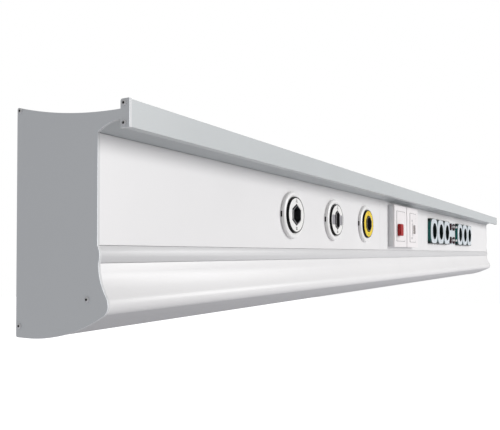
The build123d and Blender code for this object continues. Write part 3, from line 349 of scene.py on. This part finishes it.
mark_radius, mark_line, mark_dot, dot_sides = 0.0037, 0.0009, 0.0009, 16
mark_height, mark_proud = 0.0192, 0.00006
bar_length, bar_width, bar_gap = 0.0048, 0.0013, 0.0007
grey_print = moulded("grey_print", (0.06, 0.06, 0.06), roughness=0.45)
orange_print = moulded("orange_print", (0.5, 0.05, 0.01), roughness=0.45)
green_print = moulded("green_print", (0.08, 0.32, 0.04), roughness=0.45)
white_disc_prints = (grey_print, "grey_plastic", grey_print, "grey_plastic")
yellow_disc_prints = (orange_print, "red_plastic", green_print, "green_plastic")
mark_prints = [white_disc_prints, white_disc_prints, yellow_disc_prints]
for number, (upper, upper_slot, lower, lower_slot) in enumerate(mark_prints, start=1):
    disc = f"face_disc_{number}"
    sign = bmesh.new()
    bmesh.ops.create_circle(sign, cap_ends=True, segments=3, radius=mark_radius)
    bmesh.ops.inset_individual(sign, faces=sign.faces[:], thickness=mark_line)
    sign.faces.ensure_lookup_table()
    inner = min(sign.faces, key=lambda face: face.calc_center_median().length)
    bmesh.ops.delete(sign, geom=[inner], context="FACES_ONLY")
    bmesh.ops.create_circle(sign, cap_ends=True, segments=dot_sides, radius=mark_dot)
    print_verts = thickened(sign, sign.faces[:], mark_proud)
    on_face(sign, disc, mark_height, print_verts)
    built(f"gas_sign_{number}", sign, upper, f"collar_{number}")
    bars = bmesh.new()
    for step in (-0.5, 0.5):
        bar = bmesh.ops.create_grid(bars, x_segments=1, y_segments=1, size=0.5)["verts"]
        bmesh.ops.scale(bars, verts=bar, vec=(bar_length, bar_width, 1.0))
        bmesh.ops.translate(bars, verts=bar, vec=(0.0, step * (bar_width + bar_gap), 0.0))
    print_verts = thickened(bars, bars.faces[:], mark_proud)
    on_face(bars, disc, -mark_height, print_verts)
    built(f"gas_bars_{number}", bars, lower, f"collar_{number}")


# Painted shade in the end screws' sockets: a thin black disc let into each head stands in for the
# shade deep in the socket. Each screw is found as a shell of joined vertices.
floor_radius, floor_depth, floor_thick, floor_sides = 0.00114, 0.0002, 0.0003, 24
recess = bmesh.new()
screw_mesh = bmesh.new()
screw_mesh.from_mesh(nodes["end_screws"].data)
bmesh.ops.remove_doubles(screw_mesh, verts=screw_mesh.verts, dist=weld_reach)
reached = set()
for first in screw_mesh.verts:
    if first in reached:
        continue
    reached.add(first)
    shell = [first]
    for vert in shell:
        near = [edge.other_vert(vert) for edge in vert.link_edges]
        fresh = [other for other in near if other not in reached]
        reached.update(fresh)
        shell += fresh
    spots = [vert.co for vert in shell]
    middle_y = (min(spot.y for spot in spots) + max(spot.y for spot in spots)) / 2
    middle_z = (min(spot.z for spot in spots) + max(spot.z for spot in spots)) / 2
    head = max((spot.x for spot in spots), key=abs)
    outwards = math.copysign(1.0, head)
    rim = bmesh.ops.create_circle(recess, cap_ends=True, segments=floor_sides, radius=floor_radius)["verts"]
    plug = thickened(recess, rim[0].link_faces[:], floor_thick)
    bmesh.ops.rotate(recess, verts=plug, matrix=Matrix.Rotation(outwards * math.pi / 2, 3, "Y"))
    seat = (head - outwards * (floor_depth + floor_thick), middle_y, middle_z)
    bmesh.ops.translate(recess, verts=plug, vec=seat)
screw_mesh.free()
built("screw_socket_shade", recess, collar_black, "unit")


# Painted shade in the notches of the rings: black blocks, each let in a little from the ring's edge,
# fill the notch to just under its roof and stand in for the shade in it.
tab_inset, tab_depth, tab_half, tab_high = 0.0004, 0.0055, 0.0039, 0.0021
panel_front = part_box("gas_panel")[0].y
for number in range(1, outlet_count + 1):
    ring_low, ring_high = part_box(f"rosette_{number}")
    tab = bmesh.new()
    bmesh.ops.create_cube(tab, size=1.0)
    bmesh.ops.scale(tab, verts=tab.verts, vec=(tab_depth, tab_high, 2 * tab_half))
    tab_x = ring_low.x + tab_inset + tab_depth / 2
    tab_middle = (tab_x, panel_front - tab_high / 2, (ring_low.z + ring_high.z) / 2)
    bmesh.ops.translate(tab, verts=tab.verts, vec=tab_middle)
    built(f"notch_shade_{number}", tab, collar_black, "unit")


# Metal inlay in the second disc: two satin plates in its shallow slot, either side of the opening.
# Each ends just short of the opening's edge and lies a little under the disc's face.
inlay_start, inlay_end, inlay_rise = 0.0094, 0.0213, 0.0078
inlay_depth, inlay_thickness = 0.00078, 0.0005
inlay_metal = machined("inlay_metal", (0.5, 0.49, 0.52), roughness=0.35, lines=0.6)
inlay = bmesh.new()
for side in (-1, 1):
    plate = bmesh.ops.create_grid(inlay, x_segments=1, y_segments=1, size=0.5)["verts"]
    bmesh.ops.scale(inlay, verts=plate, vec=(inlay_end - inlay_start, 2 * inlay_rise, 1.0))
    plate_x = side * (inlay_start + inlay_end) / 2
    bmesh.ops.translate(inlay, verts=plate, vec=(plate_x, 0.0, -inlay_depth))
on_face(inlay, "face_disc_2", 0.0, thickened(inlay, inlay.faces[:], inlay_thickness))
built("disc_inlay_2", inlay, inlay_metal, "collar_2")


# Inside the outlets: brass caps, poppets and springs, rubber rings and copper pipes on saddles.
# They show only through the openings and from behind, but each keeps the finish of its metal.
brass = machined("brass", (0.72, 0.52, 0.24), roughness=0.3)
copper = machined("copper_tube", (0.72, 0.36, 0.22), roughness=0.34, lines=0.15)
spring_steel = machined("spring_steel", (0.5, 0.5, 0.51), roughness=0.28)
rubber = moulded("rubber", (0.012, 0.012, 0.012), roughness=0.6, grain=0.6)
grey_moulded = moulded("saddle_grey", (0.4, 0.41, 0.42), roughness=0.45, grain=0.4)
for number in range(1, outlet_count + 1):
    finish(f"gas_valve_{number}", brass, edge=0.0002)
    finish(f"gas_pipe_{number}", copper, edge=0.0)
finish("inlet_caps", brass, edge=0.0003)
finish("valve_springs", spring_steel, edge=0.0)
finish("collar_springs", spring_steel, edge=0.0)
finish("probe_seals", rubber, edge=0.0)
finish("pipe_clips", grey_moulded, edge=0.0003)


# Surface box with the call plate and the handset plate: glossy white mouldings with small radii.
# The box is screwed to the panel from inside, and the plates snap on to it.
box_white = moulded("box_white", (0.72, 0.72, 0.73), roughness=0.35)
plate_white = moulded("plate_white", (0.8, 0.77, 0.77), roughness=0.4, grain=0.05, shine=0.35)
finish("plate_box", box_white, edge=0.0005)
finish("call_plate", plate_white, edge=0.0006)
finish("handset_plate", plate_white, edge=0.0006)
finish("call_module", plate_white, edge=0.0004)
finish("handset_module", plate_white, edge=0.0003)
pin_brass = machined("pin_brass", (0.42, 0.36, 0.26), roughness=0.4)
board_laminate = moulded("board_laminate", (0.02, 0.2, 0.08), roughness=0.4)
button_red = moulded("button_red", (0.36, 0.004, 0.006), roughness=0.25, grain=0.05, shine=0.3)
finish("handset_pins", pin_brass, edge=0.0001)
finish("button_spring", spring_steel, edge=0.0)
finish("call_board", board_laminate, edge=0.0001)
finish("call_switch", collar_black, edge=0.0003)
finish("call_button", button_red, edge=0.0004)


# Painted shade round the two inserts: a thin grey strip stands proud of the plate round each insert
# and draws a fine line for the shade in the joint between insert and plate.
lip_width, lip_high = 0.0006, 0.0005
dark_grey_shade = moulded("dark_grey_shade", (0.12, 0.12, 0.125), roughness=0.6, shine=0.2)
for kind in ("call", "handset"):
    insert_low, insert_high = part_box(f"{kind}_module")
    lip = bmesh.new()
    outline = bmesh.ops.create_grid(lip, x_segments=1, y_segments=1, size=0.5)["verts"]
    insert_size = insert_high - insert_low
    lip_size = (insert_size.x + 2 * lip_width, insert_size.z + 2 * lip_width, 1.0)
    bmesh.ops.scale(lip, verts=outline, vec=lip_size)
    bmesh.ops.inset_region(
        lip,
        faces=lip.faces[:],
        thickness=lip_width,
        use_boundary=True,
        use_even_offset=True,
    )
    lip.faces.ensure_lookup_table()
    covered = min(lip.faces, key=lambda face: face.calc_center_median().length)
    bmesh.ops.delete(lip, geom=[covered], context="FACES_ONLY")
    on_face(lip, f"{kind}_plate", 0.0, thickened(lip, lip.faces[:], lip_high))
    built(f"{kind}_joint_shade", lip, dark_grey_shade, "unit")


# Socket blocks: a teal green frame screwed to the panel, three white tiles on it, and dark green
# cups in the wells with brass contacts and steel earth springs. The frame's colour darkens to its
# upper and lower rims: painted shade.
frame_teal, frame_shade = (0.002, 0.1, 0.088), (0.0, 0.008, 0.007)
shade_start, shade_full = 0.019, 0.028
frame_green = moulded("frame_green", frame_teal, roughness=0.3, grain=0.05, shine=0.25)
frame_middle = sum(corner.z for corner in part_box("socket_frame_1")) / 2
toned_by_place(frame_green, "Z", frame_middle, shade_start, shade_full, near=frame_teal, far=frame_shade)
tile_white = moulded("tile_white", (0.62, 0.665, 0.7), roughness=0.3, grain=0.05, shine=0.35)
well_dark = moulded("well_dark", (0.002, 0.01, 0.01), roughness=0.35, shine=0.15)
for number in (1, 2):
    finish(f"socket_frame_{number}", frame_green, edge=0.0006)
    finish(f"socket_tiles_{number}", tile_white, edge=0.0005)
    finish(f"socket_wells_{number}", well_dark, edge=0.0003)
finish("socket_contacts", brass, edge=0.0)
finish("earth_clips", spring_steel, edge=0.0002)


# Bonding studs between the blocks: polished, nickel plated studs on insulating collars, in a white
# plate. A cable eye slips over the stud and clicks into its groove.
polished_nickel = machined("polished_nickel", (0.82, 0.8, 0.8), roughness=0.3, lines=0.1)
collar_maroon = moulded("collar_maroon", (0.03, 0.004, 0.009), roughness=0.35, shine=0.2)
finish("bonding_plate", tile_white, edge=0.0004)
finish("bonding_studs", polished_nickel, edge=0.0001)
finish("bonding_collars", collar_maroon, edge=0.0003)


# Inside the trunking: zinc coated steel partitions, the mains terminals and the earth bar.
# They carry nothing that shows from the front.
sheet_steel = machined("sheet_steel", (0.55, 0.56, 0.57), roughness=0.42, lines=0.5)
finish("cross_dividers", sheet_steel, edge=0.0002)
finish("terminal_block", grey_moulded, edge=0.0004)
finish("earth_bar", brass, edge=0.0003)
